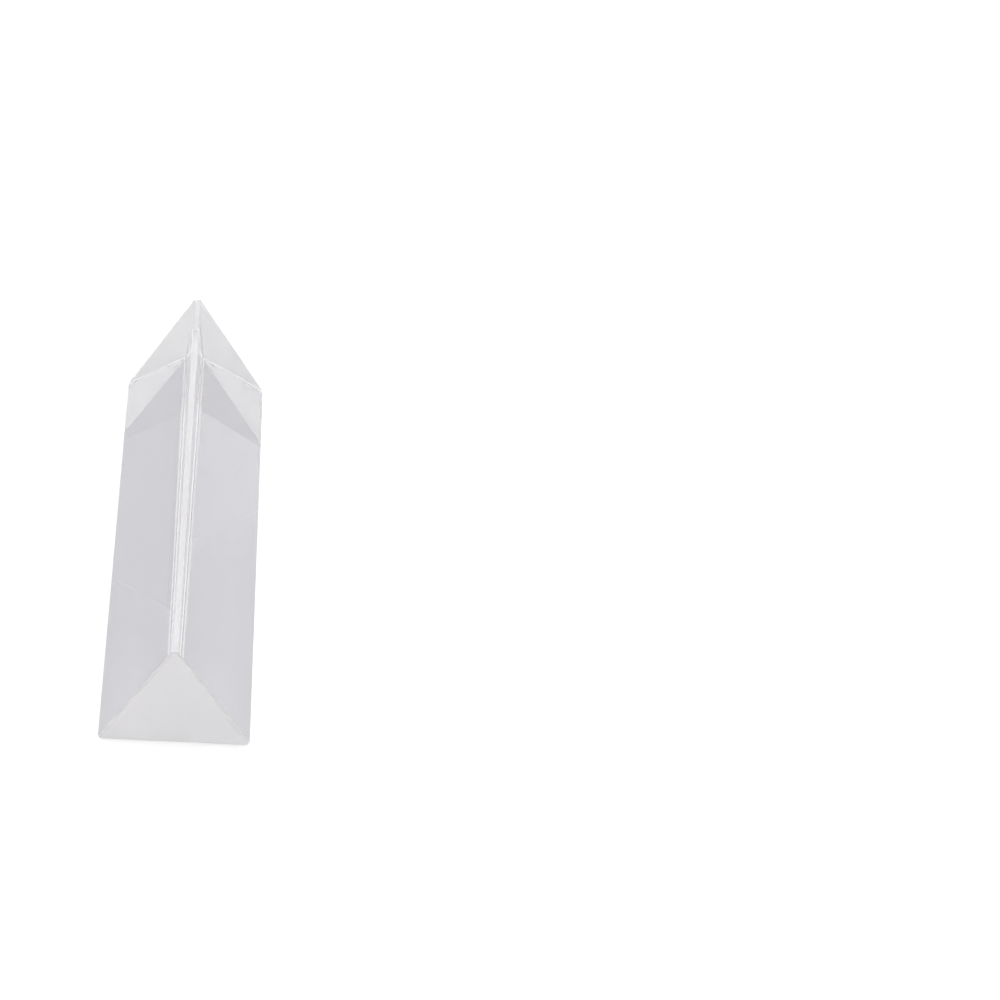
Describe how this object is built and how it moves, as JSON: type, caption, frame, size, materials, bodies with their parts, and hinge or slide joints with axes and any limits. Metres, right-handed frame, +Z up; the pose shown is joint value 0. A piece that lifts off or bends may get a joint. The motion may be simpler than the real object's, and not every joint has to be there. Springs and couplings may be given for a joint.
{
  "type": "triangular dispersing prism",
  "caption": "Solid glass prism of near-equilateral triangular section, with polished side faces, ground ends and narrow bevels, for bending and splitting light.",
  "frame": {"origin": "under the middle of the block, on the side face that it rests on", "axes": "+Y along the block's length, +Z up through the ridge, +X across the resting face"},
  "size_m": [0.0293, 0.1, 0.0263],
  "materials": {
    "crown_glass": "clear, side faces polished, ends and bevels finely ground"
  },
  "bodies": {
    "root": {"prism": "crown_glass"}
  },
  "joints": []
}
